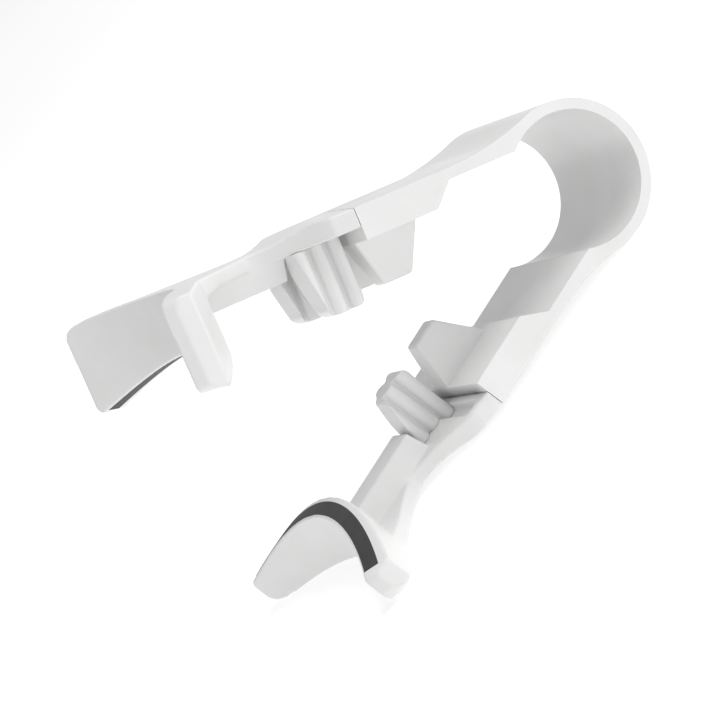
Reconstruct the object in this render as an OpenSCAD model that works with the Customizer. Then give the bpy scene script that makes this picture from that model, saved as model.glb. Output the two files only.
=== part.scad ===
// Spring tongs for placing a lash strip: one omega-shaped spring bow, two pull-off
// jaw arms with finger grips, and a magnetic strip along each curved jaw.
// The origin is on the loop's axis at mid width. +X runs to the jaws, +Y across
// the width and +Z up. The tongs stand on the loop and on the lower jaw.
// Each arm is drawn in its own frame: x along the arm from the loop's axis, y across,
// and z outwards, away from the other arm.

/* [Spring bow] */
// Inner radius of the loop
loop_radius = 7.2; // [6.8:0.1:7.4]
// Thickness of the loop's wall and of the thin necks
wall = 1.15; // [1:0.05:1.3]
// Width of the bow across the two arms
bow_width = 20.8; // [19:0.1:22]
// Angle between the two arms when nothing presses on them
open_angle = 31.8; // [30:0.1:33]
// Angle left between the two arms when the jaws meet
closed_angle = 3.1; // [3:0.1:3.3]
// Distance from the loop's axis to the seam between bow and jaw arm
seam_x = 23.6; // [23.2:0.1:24]

/* [Guide wedges] */
// How far a guide wedge stands up from the arm
wedge_height = 5.05; // [4.5:0.05:5.2]
// Half width of a wedge at its foot
wedge_foot = 2.1; // [1.8:0.1:2.2]
// Half width of a wedge at its top
wedge_top = 1.2; // [0.9:0.1:1.4]
// Sideways distance from the middle to each of the upper pair
pair_offset = 4.1; // [4:0.05:4.4]

/* [Jaws] */
// Distance from the loop's axis to the middle of a jaw's front face
jaw_x = 42.2; // [41.5:0.1:42.5]
// Radius of the jaw's front face, seen from above
jaw_radius = 28.1; // [27:0.1:30]
// Radius of the arch along which the two jaws meet
arch_radius = 50.9; // [48:0.1:55]
// Half of the angle that a jaw spans about its own centre
jaw_half_angle = 38.5; // [37:0.1:39]
// Thickness of the jaw's wall at its middle
jaw_wall = 2.6; // [2.5:0.05:3]
// Clearance that each jaw keeps from the meeting surface
jaw_gap = 0.08; // [0.05:0.01:0.15]

/* [Magnetic strips] */
// Half of the angle that a strip spans about the jaw's centre
strip_half_angle = 36; // [34:0.1:36.2]
// Width of a strip
strip_width = 1.7; // [1.5:0.05:2]
// Depth to which a strip is let into its jaw
strip_depth = 0.8; // [0.5:0.05:1]
// Width of the lip in front of a strip
front_lip = 0.25; // [0.2:0.01:0.4]

/* [Jaw arms] */
// Half width of a jaw arm at its waist
waist_half = 3.5; // [3:0.1:4]
// Length of the tongue that holds a jaw arm in the bow
tongue_length = 6; // [5:0.1:6.2]
// Clearance around the tongue
tongue_gap = 0.1; // [0.06:0.01:0.12]

/* [Grip tabs] */
// Distance that the single lower tab stands out past the arm's middle plane
lower_reach = 2.3; // [2:0.1:2.6]
// Distance that the upper pair of tabs stands out past the arm's middle plane
upper_reach = 3.2; // [2.8:0.1:3.3]
// Half width of the single lower tab
single_half = 1.7; // [1.5:0.05:1.8]
// Half width of each of the two upper tabs
twin_half = 2.05; // [1.8:0.05:2.1]
// Spacing of the ribs on a tab
rib_pitch = 1.95; // [1.8:0.05:2]

/* [Hidden] */
$fn = 96;
fine = 240; // facets of the large curves
through = 60; // reaches through everything
over = 1; // overshoot of a cut past a face
white = [0.93, 0.93, 0.92];
strip_grey = [0.24, 0.24, 0.25];

// Standing attitude: the lower arm slopes down to the jaw, the upper arm up from it
lower_slope = -3.1;
upper_slope = lower_slope + open_angle;
half_width = bow_width / 2;
loop_outer = loop_radius + wall;

// Bow arm, side view: thin neck, 45 degree step, thick part up to the seam
neck_in = 5.05;
neck_start = 4;
neck_x = 7.4;
mouth_angle = 44;
flank_radius = 30;
flank_overlap = 0.02;
step_x = 13;
thick_in = 2.75;
arm_out = neck_in + wall;
crown_rise = 0.45;
crown_radius = (half_width * half_width + crown_rise * crown_rise) / (2 * crown_rise);
arm_top = arm_out + crown_rise;

// Where the flank's curve leaves the arm, and where it meets the loop
flank_x = sqrt(pow(loop_outer + flank_radius - flank_overlap, 2) - pow(arm_out + flank_radius, 2));
flank_touch = loop_outer / (loop_outer + flank_radius) * [flank_x, arm_out + flank_radius];

// Wedges: foot and top, along the arm
wedge_foot_x = [15.95, seam_x - over / 10];
wedge_top_x = [18.4, 21.8];
wedge_tip_z = thick_in - wedge_height;

// Jaw arm
seam_gap = 0.06;
root_x = seam_x + seam_gap;
plate_in = 4.15;
plate_in_jaw = 3.2;
plate_setback = 0.6;
plate_end_x = 49;
ramp_x = [39, 45];
dip = 0.9;
dip_x = [25, 32];
root_half = 9.6;
root_end_x = 26.4;
waist_x = 33.8;
flare_x = 44;
flare_half = 13.8;
waist_bend = 1.8;
flare_bend = 1.25;
tip_half = 18.4;
end_round = 1.2;
tip_outer_z = 5.4;
lower_tip_z = 1.4;
upper_tip_z = -4.3;
jaw_pitch = closed_angle / 2;
jaw_centre_x = jaw_x + jaw_radius;
back_radius = jaw_radius + 5;
back_centre_x = jaw_x - jaw_wall + back_radius;
spine_in = 1.75;
spine_top_half = 2;
spine_sink = 0.5;
spine_x = [29.9, 41];
pocket_x = [24.6, 26.3];
pocket_half = 8.6;
pocket_depth = 0.8;

// Tongue and its socket
tongue_half = 7;
tongue_z = [4.25, 5.7];
socket_floor = 0.3;

// Grip tab, side view
tab_x = [pocket_x[0], spine_x[0]];
tab_top_x = [25.4, 28.7];
tab_round = 1.1;
tab_shoulder = 3.1;
tab_heel = [29.35, 1];
rib_radius = 0.8;
rib_x = 25.22;
rib_depth = 0.75;

// Smooth step from 0 to 1 between two places
function ease(x, span) =
    let (t = min(1, max(0, (x - span[0]) / (span[1] - span[0])))) t * t * (3 - 2 * t);

// Outer face of a jaw arm, seen from the side
function outer_z(x) = arm_top - dip * ease(x, dip_x);

// Half width of a jaw arm, seen from above: root block, waist, flare to the jaw
function arm_half(x) =
    x < root_end_x ? half_width + (root_half - half_width) * (x - root_x) / (root_end_x - root_x)
    : x < waist_x ? waist_half
        + (root_half - waist_half) * pow((waist_x - x) / (waist_x - root_end_x), waist_bend)
    : waist_half + (flare_half - waist_half) * pow((x - waist_x) / (flare_x - waist_x), flare_bend);

// Places an arm's own frame: the upper arm, or the lower arm mirrored
module place_arm(upper) {
    if (upper)
        rotate([0, -upper_slope, 0]) children();
    else
        rotate([0, -lower_slope, 0]) mirror([0, 0, 1]) children();
}

// Places the jaw's frame within an arm: its x-y plane is where the closed jaws meet
module place_jaw() {
    rotate([0, jaw_pitch, 0]) children();
}

// Extrudes an x-z outline across the width
module across(width) {
    rotate([90, 0, 0]) linear_extrude(width, center = true) children();
}

// Long cylinder lying along x
module along_x(radius) {
    rotate([0, 90, 0]) cylinder(h = 2 * through, r = radius, center = true, $fn = fine);
}

// Extrudes a plan up and down through everything
module upright() {
    linear_extrude(2 * through, center = true) children();
}

// Keeps what lies under the arm's slightly crowned outer face
module crowned() {
    intersection() {
        children();
        translate([0, 0, arm_top - crown_radius]) along_x(crown_radius);
    }
}

// The long hollow curve that runs from the loop's outside down to the arm's outer face
module flank_curve() {
    translate([flank_x, arm_out + flank_radius]) circle(flank_radius, $fn = 3 * fine);
}

// One neck's outline from the loop to the bow arm
module neck_outline() {
    difference() {
        polygon([
            [neck_start, neck_in], [neck_x, neck_in], [neck_x, loop_outer],
            [flank_touch[0], loop_outer], loop_radius / loop_outer * flank_touch
        ]);
        flank_curve();
        circle(loop_radius);
    }
}

// Thin loop: a ring open towards the jaws, with both necks
module spring_loop() {
    color(white) across(bow_width) {
        difference() {
            circle(loop_outer);
            circle(loop_radius);
            polygon([
                [0, 0],
                through * [cos(upper_slope + mouth_angle), sin(upper_slope + mouth_angle)],
                [through, 0],
                through * [cos(lower_slope - mouth_angle), sin(lower_slope - mouth_angle)]
            ]);
        }
        rotate(upper_slope) neck_outline();
        rotate(lower_slope) mirror([0, 1]) neck_outline();
    }
}

// One guide wedge, tapered in both views
module wedge(y) {
    intersection() {
        across(through) polygon([
            [wedge_foot_x[0], thick_in], [wedge_top_x[0], wedge_tip_z],
            [wedge_top_x[1], wedge_tip_z], [wedge_foot_x[1], thick_in]
        ]);
        translate([0, y, 0]) rotate([90, 0, 90]) linear_extrude(through) polygon([
            [-wedge_foot, thick_in], [-wedge_top, wedge_tip_z],
            [wedge_top, wedge_tip_z], [wedge_foot, thick_in]
        ]);
    }
}

// Bow arm: neck, step and thick part, hollow at the seam for the jaw arm's tongue
module bow_arm(upper) {
    color(white) place_arm(upper) {
        across(bow_width) difference() {
            translate([neck_x, neck_in]) square([flank_x - neck_x, loop_outer - neck_in]);
            flank_curve();
        }
        crowned() difference() {
            across(bow_width) polygon([
                [neck_x, neck_in], [step_x, neck_in], [step_x + neck_in - thick_in, thick_in],
                [seam_x, thick_in], [seam_x, arm_top], [neck_x, arm_top]
            ]);
            translate([
                seam_x - tongue_length - socket_floor, -tongue_half - tongue_gap,
                tongue_z[0] - tongue_gap
            ])
                cube([
                    tongue_length + socket_floor + over, 2 * (tongue_half + tongue_gap),
                    tongue_z[1] - tongue_z[0] + 2 * tongue_gap
                ]);
        }
        for (y = upper ? [-pair_offset, pair_offset] : [0]) wedge(y);
    }
}

// Jaw arm seen from above, from the seam to beyond the jaw
module plate_plan() {
    steps = 30;
    side = [for (i = [0:steps]) let (x = root_x + (plate_end_x - root_x) * i / steps) [x, arm_half(x)]];
    polygon(concat(side, [for (i = [steps:-1:0]) [side[i][0], -side[i][1]]]));
}

// A sector about the jaw's centre, seen from above and cut off at its two ends
module jaw_sector(half_angle) {
    intersection() {
        polygon([
            [jaw_centre_x, 0],
            [jaw_centre_x - through * cos(half_angle), through * sin(half_angle)],
            [jaw_centre_x - through * cos(half_angle), -through * sin(half_angle)]
        ]);
        square([2 * through, 2 * tip_half], center = true);
    }
}

// What a jaw's end loses where its two corners are rounded
module end_corners(upper) {
    inner_z = upper ? upper_tip_z : lower_tip_z;
    block = 2.5 * end_round;
    for (side = [-1, 1], outer = [true, false])
        translate([jaw_centre_x, 0, 0]) rotate([0, 0, -side * jaw_half_angle])
            translate([0, -side * end_round, outer ? tip_outer_z - end_round : inner_z + end_round])
                difference() {
                    translate([-through, side > 0 ? 0 : -block, outer ? 0 : -block])
                        cube([through, block, block]);
                    rotate([0, 90, 0]) cylinder(h = 3 * through, r = end_round, center = true);
                }
}

// Jaw seen from above: between the hollow front and the rounder back
module wall_plan() {
    intersection() {
        difference() {
            translate([back_centre_x, 0]) circle(back_radius, $fn = fine);
            translate([jaw_centre_x, 0]) circle(jaw_radius, $fn = fine);
        }
        jaw_sector(jaw_half_angle);
    }
}

// Everything on the lower side of the meeting arch, moved by the clearance
module below_arch(upper, depth) {
    radius = arch_radius + (upper ? depth : -depth);
    translate([0, 0, upper ? -arch_radius : arch_radius]) along_x(radius);
}

// Side view of the plate: stepped inner face, dipped outer face
module plate_side(low) {
    steps = 12;
    top = [for (i = [0:steps]) let (x = dip_x[0] + (dip_x[1] - dip_x[0]) * i / steps) [x, outer_z(x)]];
    polygon(concat(
        [[root_x, arm_top]], top, [[plate_end_x, outer_z(plate_end_x)]],
        low ? [[plate_end_x, -through], [root_x, -through]]
            : [
                [plate_end_x, plate_in_jaw], [ramp_x[1], plate_in_jaw],
                [ramp_x[0], plate_in], [root_x, plate_in]
            ]
    ));
}

// Magnetic strip: follows the jaw's front face and the meeting arch
module strip_body(upper) {
    place_jaw() intersection() {
        upright() intersection() {
            difference() {
                translate([jaw_centre_x, 0]) circle(jaw_radius + front_lip + strip_width, $fn = fine);
                translate([jaw_centre_x, 0]) circle(jaw_radius + front_lip, $fn = fine);
            }
            wall_plan();
            jaw_sector(strip_half_angle);
        }
        if (upper)
            difference() {
                below_arch(upper, jaw_gap + strip_depth);
                below_arch(upper, jaw_gap);
            }
        else
            difference() {
                below_arch(upper, jaw_gap);
                below_arch(upper, jaw_gap + strip_depth);
            }
    }
}

// Jaw arm: tongue, root block, waist with its spine, and the curved jaw
module jaw_arm(upper) {
    color(white) place_arm(upper) {
        crowned() difference() {
            union() {
                intersection() {
                    across(through) plate_side(false);
                    upright() difference() {
                        intersection() {
                            plate_plan();
                            jaw_sector(jaw_half_angle);
                        }
                        translate([jaw_centre_x, 0]) circle(jaw_radius + plate_setback, $fn = fine);
                    }
                }
                intersection() {
                    across(through) plate_side(true);
                    place_jaw() difference() {
                        intersection() {
                            upright() wall_plan();
                            if (!upper) below_arch(upper, jaw_gap);
                        }
                        if (upper) below_arch(upper, jaw_gap);
                    }
                }
                spine();
            }
            strip_body(upper);
            end_corners(upper);
            translate([pocket_x[0], -pocket_half, plate_in - over])
                cube([pocket_x[1] - pocket_x[0], 2 * pocket_half, pocket_depth + over]);
        }
        translate([root_x - tongue_length, -tongue_half, tongue_z[0]])
            cube([tongue_length, 2 * tongue_half, tongue_z[1] - tongue_z[0]]);
    }
}

// Raised spine that keeps the waist stiff
module spine() {
    translate([spine_x[0], 0, 0]) rotate([90, 0, 90]) linear_extrude(spine_x[1] - spine_x[0]) polygon([
        [-waist_half, plate_in + spine_sink], [-waist_half, plate_in], [-spine_top_half, spine_in],
        [spine_top_half, spine_in], [waist_half, plate_in], [waist_half, plate_in + spine_sink]
    ]);
}

// Grip tab in side view: rounded tip, foot set into the pocket
module tab_side(reach) {
    corner_z = tab_round - reach;
    polygon([
        [tab_x[0], plate_in + pocket_depth], [tab_x[0], tab_shoulder - reach],
        [tab_top_x[0] - tab_round, corner_z], [tab_top_x[0], -reach],
        [tab_top_x[1] - tab_round, -reach], [tab_top_x[1], corner_z], tab_heel,
        [tab_x[1], plate_in], [pocket_x[1], plate_in], [pocket_x[1], plate_in + pocket_depth]
    ]);
    translate([tab_top_x[0], corner_z]) circle(tab_round);
    translate([tab_top_x[1] - tab_round, corner_z]) circle(tab_round);
}

// Grip tab with three rounded ribs on each side
module grip_tab(y, half, reach) {
    core_half = half - rib_depth;
    translate([0, y, 0]) intersection() {
        across(2 * half) tab_side(reach);
        upright() {
            translate([tab_x[0] - tab_round, -core_half])
                square([tab_x[1] - tab_x[0] + tab_round, 2 * core_half]);
            for (side = [-1, 1], i = [0:2])
                translate([rib_x + i * rib_pitch, side * (half - rib_radius)])
                    circle(rib_radius);
        }
    }
}

module lower_bow_arm() { bow_arm(false); }
module upper_bow_arm() { bow_arm(true); }
module lower_jaw_arm() { jaw_arm(false); }
module upper_jaw_arm() { jaw_arm(true); }
module lower_grip_tab() { color(white) place_arm(false) grip_tab(0, single_half, lower_reach); }
module upper_grip_tabs() {
    color(white) place_arm(true)
        for (side = [-1, 1]) grip_tab(side * pair_offset, twin_half, upper_reach);
}
module lower_magnet_strip() { color(strip_grey) place_arm(false) strip_body(false); }
module upper_magnet_strip() { color(strip_grey) place_arm(true) strip_body(true); }

spring_loop();
lower_bow_arm();
upper_bow_arm();
lower_jaw_arm();
upper_jaw_arm();
lower_grip_tab();
upper_grip_tabs();
lower_magnet_strip();
upper_magnet_strip();
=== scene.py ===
"""Lash tongs: a white sprung bow, two pull-off jaw arms and their magnetic strips."""

import math

import bmesh
import bpy
from mathutils import Matrix, Vector


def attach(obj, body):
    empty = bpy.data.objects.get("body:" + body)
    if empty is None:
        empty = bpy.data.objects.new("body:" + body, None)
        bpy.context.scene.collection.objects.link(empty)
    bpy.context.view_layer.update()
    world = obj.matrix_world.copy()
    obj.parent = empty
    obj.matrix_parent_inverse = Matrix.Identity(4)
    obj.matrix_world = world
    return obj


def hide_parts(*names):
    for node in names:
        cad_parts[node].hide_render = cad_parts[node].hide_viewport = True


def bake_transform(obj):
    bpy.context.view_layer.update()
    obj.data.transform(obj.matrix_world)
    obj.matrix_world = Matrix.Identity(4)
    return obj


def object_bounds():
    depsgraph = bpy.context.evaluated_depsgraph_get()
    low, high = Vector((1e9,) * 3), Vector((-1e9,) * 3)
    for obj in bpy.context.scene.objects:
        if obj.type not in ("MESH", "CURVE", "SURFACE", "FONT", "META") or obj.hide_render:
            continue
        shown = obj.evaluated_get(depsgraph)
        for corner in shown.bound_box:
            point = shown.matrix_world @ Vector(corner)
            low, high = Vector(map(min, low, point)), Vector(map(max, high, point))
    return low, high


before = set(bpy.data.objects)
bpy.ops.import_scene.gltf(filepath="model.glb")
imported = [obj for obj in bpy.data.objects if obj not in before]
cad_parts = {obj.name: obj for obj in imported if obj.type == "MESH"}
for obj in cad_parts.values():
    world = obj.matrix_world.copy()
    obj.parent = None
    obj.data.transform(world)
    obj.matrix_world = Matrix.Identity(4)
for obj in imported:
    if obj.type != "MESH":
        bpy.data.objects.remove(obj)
cad_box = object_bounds()

MM = 0.001

# Places in an arm's own frame: x along the arm from the loop's axis, z outwards
LOWER_SLOPE = math.radians(-3.1)
UPPER_SLOPE = math.radians(28.7)
NECK_END = 7.4 * MM
INNER_FACE = 2.75 * MM
SEAM = 23.6 * MM
ROOT = 23.66 * MM

# Distances below which two places count as one
WELD = 0.002 * MM
BOW_WELD = 0.004 * MM

# Rounded edges
BOW_EDGE = 0.28 * MM
WEDGE_EDGE = 0.3 * MM
TONGUE_EDGE = 0.2 * MM
STRIP_EDGE = 0.06 * MM
MOULDED_FOLD = 25
STRIP_FOLD = 30

# Skins of the jaw arms and grips, in millimetres and rounds of smoothing
JAW_SKIN = 0.15
JAW_ROUNDS = 5
GRIP_SKIN = 0.09
GRIP_ROUNDS = 3


# ---- Shader maths ----------------------------------------------------------


class Value:
    """A socket that grows its own Math nodes."""

    def __init__(self, recipe, socket):
        self.recipe = recipe
        self.socket = socket

    def maths(self, operation, a, b):
        return self.recipe.node("ShaderNodeMath", {"operation": operation}, {0: a, 1: b})

    def __add__(self, other):
        return self.maths("ADD", self, other)

    def __mul__(self, other):
        return self.maths("MULTIPLY", self, other)

    __radd__ = __add__
    __rmul__ = __mul__


class Recipe:
    """One material's node tree."""

    def __init__(self, name):
        self.material = bpy.data.materials.new(name)
        self.material.use_nodes = True
        self.tree = self.material.node_tree
        self.tree.nodes.clear()

    def node(self, kind, settings, sockets, output=0):
        made = self.tree.nodes.new(kind)
        for name, setting in settings.items():
            if name == "stops":
                while len(made.color_ramp.elements) < len(setting):
                    made.color_ramp.elements.new(0.5)
                for element, (place, colour) in zip(made.color_ramp.elements, setting):
                    element.position = place
                    element.color = colour
            else:
                setattr(made, name, setting)
        for name, value in sockets.items():
            if isinstance(value, Value):
                self.tree.links.new(value.socket, made.inputs[name])
            else:
                made.inputs[name].default_value = value
        return Value(self, made.outputs[output])

    def place(self):
        return self.node("ShaderNodeTexCoord", {}, {}, "Object")

    def cloud(self, scale, detail=2.0, roughness=0.5):
        return self.node(
            "ShaderNodeTexNoise",
            {"noise_dimensions": "3D"},
            {"Vector": self.place(), "Scale": scale, "Detail": detail, "Roughness": roughness},
        )

    def ramp(self, factor, stops):
        return self.node("ShaderNodeValToRGB", {"stops": stops}, {"Fac": factor})

    def finish(self, shader):
        out = self.tree.nodes.new("ShaderNodeOutputMaterial")
        self.tree.links.new(shader.socket, out.inputs["Surface"])
        return self.material


def grey(level, warmth=0.0):
    return (level + warmth, level, level - warmth, 1.0)


def moulded_white():
    """Satin white moulding: faint cloudiness, uneven gloss, fine spark-eroded grain."""
    recipe = Recipe("moulded_white")
    tone = recipe.ramp(
        recipe.cloud(170.0, 3.0), [(0.3, grey(0.74, 0.003)), (0.7, grey(0.78, 0.002))]
    )
    gloss = recipe.cloud(420.0, 4.0) * 0.12 + 0.3
    height = recipe.cloud(5200.0, 3.0, 0.6) * 0.7 + recipe.cloud(700.0, 2.0) * 0.3
    bump = recipe.node(
        "ShaderNodeBump", {}, {"Strength": 0.12, "Distance": 0.03 * MM, "Height": height}
    )
    return recipe.finish(
        recipe.node(
            "ShaderNodeBsdfPrincipled",
            {},
            {
                "Base Color": tone,
                "Roughness": gloss,
                "Normal": bump,
                "IOR": 1.5,
                "Coat Weight": 0.12,
                "Coat Roughness": 0.25,
            },
        )
    )


def magnetic_rubber():
    """Matt dark grey magnetic sheet with a fine ferrite speckle."""
    recipe = Recipe("magnetic_rubber")
    speckle = recipe.cloud(9000.0, 2.0, 0.7)
    tone = recipe.ramp(
        speckle * 0.6 + recipe.cloud(500.0, 3.0) * 0.4,
        [(0.3, grey(0.022)), (0.6, grey(0.04)), (0.75, grey(0.075))],
    )
    bump = recipe.node(
        "ShaderNodeBump", {}, {"Strength": 0.35, "Distance": 0.03 * MM, "Height": speckle}
    )
    return recipe.finish(
        recipe.node(
            "ShaderNodeBsdfPrincipled",
            {},
            {
                "Base Color": tone,
                "Roughness": speckle * 0.2 + 0.5,
                "Normal": bump,
                "IOR": 1.5,
            },
        )
    )


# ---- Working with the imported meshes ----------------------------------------


def arm_turn(upper):
    """Turns an arm's own frame (x along the arm, z outwards) to where the arm lies."""
    if upper:
        return Matrix.Rotation(-UPPER_SLOPE, 4, "Y")
    return Matrix.Rotation(-LOWER_SLOPE, 4, "Y") @ Matrix.Scale(-1, 4, (0, 0, 1))


def merged(*nodes):
    """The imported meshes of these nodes, joined, with their doubles merged."""
    shape = bmesh.new()
    for node in nodes:
        shape.from_mesh(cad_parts[node].data)
    bmesh.ops.remove_doubles(shape, verts=shape.verts, dist=WELD)
    return shape


def flatten(shape):
    """Turns coplanar triangles into single faces."""
    bmesh.ops.dissolve_limit(
        shape, angle_limit=math.radians(0.4), verts=shape.verts, edges=shape.edges
    )


def cut(shape, point, normal):
    """Cuts off everything beyond the plane and closes the cut."""
    made = bmesh.ops.bisect_plane(
        shape,
        geom=shape.verts[:] + shape.edges[:] + shape.faces[:],
        plane_co=point,
        plane_no=normal,
        clear_outer=True,
        dist=1e-8,
    )
    rim = [e for e in made["geom_cut"] if isinstance(e, bmesh.types.BMEdge)]
    bmesh.ops.holes_fill(shape, edges=rim)


def sharp_edges(shape, least, keep=lambda edge: True):
    """Edges that fold by more than this many degrees."""
    return [
        e
        for e in shape.edges
        if len(e.link_faces) == 2 and e.calc_face_angle(0) > math.radians(least) and keep(e)
    ]


def soften(shape, width, edges, segments=3):
    """Rounds these edges."""
    bmesh.ops.bevel(
        shape,
        geom=edges,
        offset=width,
        offset_type="OFFSET",
        affect="EDGES",
        segments=segments,
        profile=0.5,
        material=-1,
        clamp_overlap=True,
    )


def piece(name, shape, material, smooth_angle=35):
    """Makes the finished object, shaded smooth except across sharp folds."""
    mesh = bpy.data.meshes.new(name)
    bmesh.ops.recalc_face_normals(shape, faces=shape.faces)
    shape.to_mesh(mesh)
    shape.free()
    mesh.materials.append(material)
    mesh.shade_smooth()
    mesh.set_sharp_from_angle(angle=math.radians(smooth_angle))
    made = bpy.data.objects.new(name, mesh)
    bpy.context.scene.collection.objects.link(made)
    return made


def weighted(made):
    """Flat faces keep flat shading next to their rounded edges."""
    modifier = made.modifiers.new("face_weights", "WEIGHTED_NORMAL")
    modifier.keep_sharp = True
    modifier.weight = 90


def remeshed(shape, voxel):
    """One even skin round the shape, made in the shape's present frame at 1 unit to 1 mm."""
    mesh = bpy.data.meshes.new("skin")
    bmesh.ops.scale(shape, vec=(1 / MM, 1 / MM, 1 / MM), verts=shape.verts)
    shape.to_mesh(mesh)
    shape.free()
    made = bpy.data.objects.new("skin", mesh)
    bpy.context.scene.collection.objects.link(made)
    modifier = made.modifiers.new("skin", "REMESH")
    modifier.mode = "VOXEL"
    modifier.voxel_size = voxel
    modifier.adaptivity = 0
    evaluated = made.evaluated_get(bpy.context.evaluated_depsgraph_get())
    skin = bmesh.new()
    skin.from_mesh(evaluated.to_mesh())
    bpy.data.objects.remove(made)
    bmesh.ops.scale(skin, vec=(MM, MM, MM), verts=skin.verts)
    return skin


def relax(shape, rounds, verts):
    """Rounds a skin's edges off, a little in each round."""
    for _ in range(rounds):
        bmesh.ops.smooth_vert(
            shape,
            verts=verts,
            factor=0.5,
            use_axis_x=True,
            use_axis_y=True,
            use_axis_z=True,
        )


# ---- The bow ---------------------------------------------------------------


def bow_arm_without_wedges(upper):
    """One bow arm, cut off just above its inner face."""
    shape = merged("upper_bow_arm" if upper else "lower_bow_arm")
    turn = arm_turn(upper)
    just_above = turn @ Vector((0, 0, INNER_FACE + BOW_WELD))
    cut(shape, just_above, turn.to_3x3() @ Vector((0, 0, -1)))
    return shape


def bow(material):
    """Loop and both arms as one moulding."""
    shape = merged("spring_loop")
    for upper in (True, False):
        arm = bow_arm_without_wedges(upper)
        held = bpy.data.meshes.new("arm")
        arm.to_mesh(held)
        arm.free()
        shape.from_mesh(held)
    bmesh.ops.remove_doubles(shape, verts=shape.verts, dist=BOW_WELD)
    for upper in (True, False):
        back = arm_turn(upper).inverted()
        inside = [
            f
            for f in shape.faces
            if all(abs((back @ v.co).x - NECK_END) < BOW_WELD for v in f.verts)
        ]
        bmesh.ops.delete(shape, geom=inside, context="FACES")
    flatten(shape)

    def clear_of_seam(edge):
        return all(
            (arm_turn(u).inverted() @ v.co).x < SEAM - 0.2 * MM
            for v in edge.verts
            for u in (True, False)
        )

    soften(shape, BOW_EDGE, sharp_edges(shape, MOULDED_FOLD, clear_of_seam))
    made = piece("spring_bow", shape, material)
    weighted(made)
    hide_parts("spring_loop", "lower_bow_arm", "upper_bow_arm")
    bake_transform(made)


def guide_wedge(upper, material):
    """The wedges that steer the arms past each other, as they close."""
    shape = merged("upper_bow_arm" if upper else "lower_bow_arm")
    turn = arm_turn(upper)
    outwards = turn.to_3x3() @ Vector((0, 0, 1))
    cut(shape, turn @ Vector((0, 0, INNER_FACE - 0.01 * MM)), outwards)
    flatten(shape)
    foot = [v for v in shape.verts if (turn.inverted() @ v.co).z > INNER_FACE - 0.1 * MM]
    soften(
        shape,
        WEDGE_EDGE,
        sharp_edges(shape, MOULDED_FOLD, lambda e: not all(v in foot for v in e.verts)),
    )
    foot = [v for v in shape.verts if (turn.inverted() @ v.co).z > INNER_FACE - 0.02 * MM]
    bmesh.ops.translate(shape, vec=outwards * WEDGE_EDGE, verts=foot)
    name = "upper_guide_wedges" if upper else "lower_guide_wedge"
    made = piece(name, shape, material)
    weighted(made)
    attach(made, "upper_arm" if upper else "bow")


# ---- The jaw arms ----------------------------------------------------------


def jaw_arm(upper, material):
    """Root block, waist and curved jaw in one smooth skin, and the tongue behind them."""
    side = "upper" if upper else "lower"
    turn = arm_turn(upper)
    shape = merged(side + "_jaw_arm", side + "_magnet_strip")
    bmesh.ops.transform(shape, matrix=turn.inverted(), verts=shape.verts)
    cut(shape, (ROOT + WELD, 0, 0), (-1, 0, 0))
    skin = remeshed(shape, JAW_SKIN)
    relax(skin, JAW_ROUNDS, [v for v in skin.verts if v.co.x > ROOT + 0.4 * MM])
    bmesh.ops.transform(skin, matrix=turn, verts=skin.verts)
    made = piece(side + "_jaw_body", skin, material, 180)
    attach(made, side + "_head")
    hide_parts(side + "_jaw_arm")

    tongue = merged(side + "_jaw_arm")
    along = turn.to_3x3() @ Vector((1, 0, 0))
    cut(tongue, turn @ Vector((ROOT - 0.02 * MM, 0, 0)), along)
    flatten(tongue)
    soften(tongue, TONGUE_EDGE, sharp_edges(tongue, MOULDED_FOLD))
    held = piece(side + "_tongue", tongue, material)
    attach(held, side + "_head")


def grip_tab(node, body, material):
    """Ribbed finger grip."""
    upper = body == "upper_head"
    turn = arm_turn(upper)
    shape = merged(node)
    bmesh.ops.transform(shape, matrix=turn.inverted(), verts=shape.verts)
    skin = remeshed(shape, GRIP_SKIN)
    relax(skin, GRIP_ROUNDS, skin.verts)
    bmesh.ops.transform(skin, matrix=turn, verts=skin.verts)
    made = piece(node + "_skin", skin, material, 180)
    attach(made, body)
    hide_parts(node)


def magnet_strip(upper, material):
    """Thin strip, standing a hair proud of the jaw's edge."""
    side = "upper" if upper else "lower"
    shape = merged(side + "_magnet_strip")
    flatten(shape)
    soften(shape, STRIP_EDGE, sharp_edges(shape, STRIP_FOLD), 2)
    outwards = arm_turn(upper).to_3x3() @ Vector((0, 0, 1))
    bmesh.ops.translate(shape, vec=outwards * -0.03 * MM, verts=shape.verts)
    made = piece(side + "_strip", shape, material)
    weighted(made)
    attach(made, side + "_head")
    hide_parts(side + "_magnet_strip")


# ---- Studio ----------------------------------------------------------------


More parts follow.
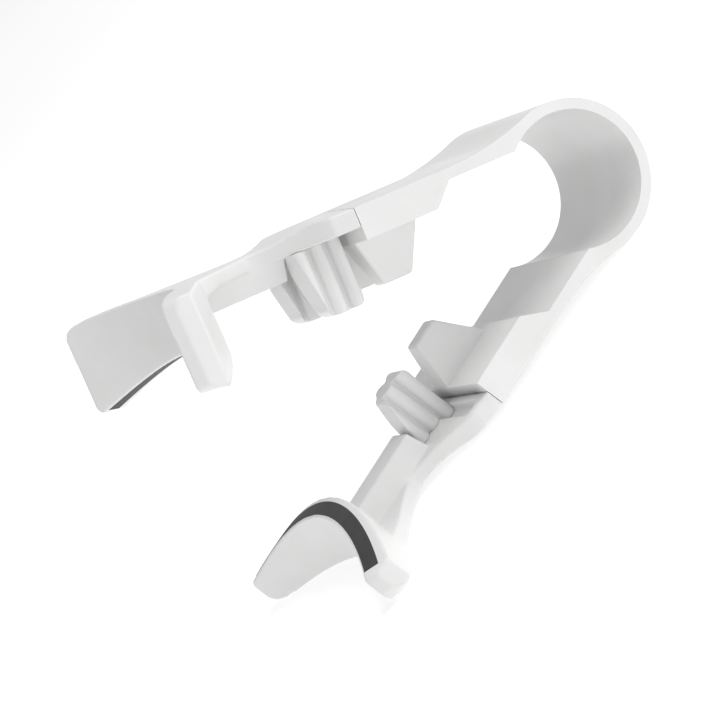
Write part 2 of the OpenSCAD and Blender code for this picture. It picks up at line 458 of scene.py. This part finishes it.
def pale_floor():
    recipe = Recipe("pale_floor")
    tone = recipe.ramp(recipe.cloud(6.0), [(0.3, grey(0.93)), (0.7, grey(0.96))])
    material = recipe.finish(
        recipe.node(
            "ShaderNodeBsdfPrincipled",
            {},
            {
                "Base Color": tone,
                "Roughness": 0.9,
                "Specular IOR Level": 0.1,
                "Emission Color": (1, 1, 1, 1),
                "Emission Strength": 0.38,
            },
        )
    )
    shape = bmesh.new()
    bmesh.ops.create_grid(shape, x_segments=1, y_segments=1, size=4.0)
    bmesh.ops.translate(shape, vec=(0, 0, cad_box[0].z - 0.01 * MM), verts=shape.verts)
    mesh = bpy.data.meshes.new("floor")
    shape.to_mesh(mesh)
    shape.free()
    mesh.materials.append(material)
    floor = bpy.data.objects.new("floor", mesh)
    bpy.context.scene.collection.objects.link(floor)


def soft_light(name, direction, size, energy):
    """Round lamp that faces the tongs from half a metre away."""
    lamp = bpy.data.lights.new(name, "AREA")
    lamp.shape = "DISK"
    lamp.size = size
    lamp.energy = energy
    made = bpy.data.objects.new(name, lamp)
    towards = Vector(direction).normalized()
    centre = (cad_box[0] + cad_box[1]) / 2
    made.location = centre + towards * 0.5
    made.rotation_mode = "QUATERNION"
    made.rotation_quaternion = towards.to_track_quat("Z", "Y")
    bpy.context.scene.collection.objects.link(made)


def studio():
    world = bpy.data.worlds.new("white_room")
    bpy.context.scene.world = world
    world.use_nodes = True
    background = world.node_tree.nodes["Background"]
    background.inputs["Color"].default_value = (1, 1, 1, 1)
    background.inputs["Strength"].default_value = 0.55
    soft_light("key", (-0.7, 0.45, 1.0), 0.4, 1.4)
    soft_light("fill", (0.9, 0.45, 0.3), 0.3, 0.2)
    bpy.context.scene.view_settings.view_transform = "Standard"


def camera():
    """Long lens from beside the tongs, rolled so that they lie slanting in the frame."""
    lens = bpy.data.cameras.new("camera")
    lens.sensor_width = 36
    lens.lens = 169.8
    lens.clip_start = 0.01
    lens.clip_end = 20
    made = bpy.data.objects.new("camera", lens)
    right = Vector((-0.569, 0.3424, -0.7476)).normalized()
    back = Vector((0.2656, 0.937, 0.227)).normalized()
    up = back.cross(right).normalized()
    right = up.cross(back)
    made.matrix_world = Matrix.Translation(Vector((118.58, 325.09, 83.36)) * MM) @ Matrix(
        (right, up, back)
    ).transposed().to_4x4()
    bpy.context.scene.collection.objects.link(made)
    bpy.context.scene.camera = made


def build():
    camera()
    white = moulded_white()
    rubber = magnetic_rubber()
    bow(white)
    for upper in (True, False):
        guide_wedge(upper, white)
        jaw_arm(upper, white)
        magnet_strip(upper, rubber)
    grip_tab("lower_grip_tab", "lower_head", white)
    grip_tab("upper_grip_tabs", "upper_head", white)
    pale_floor()
    studio()


build()
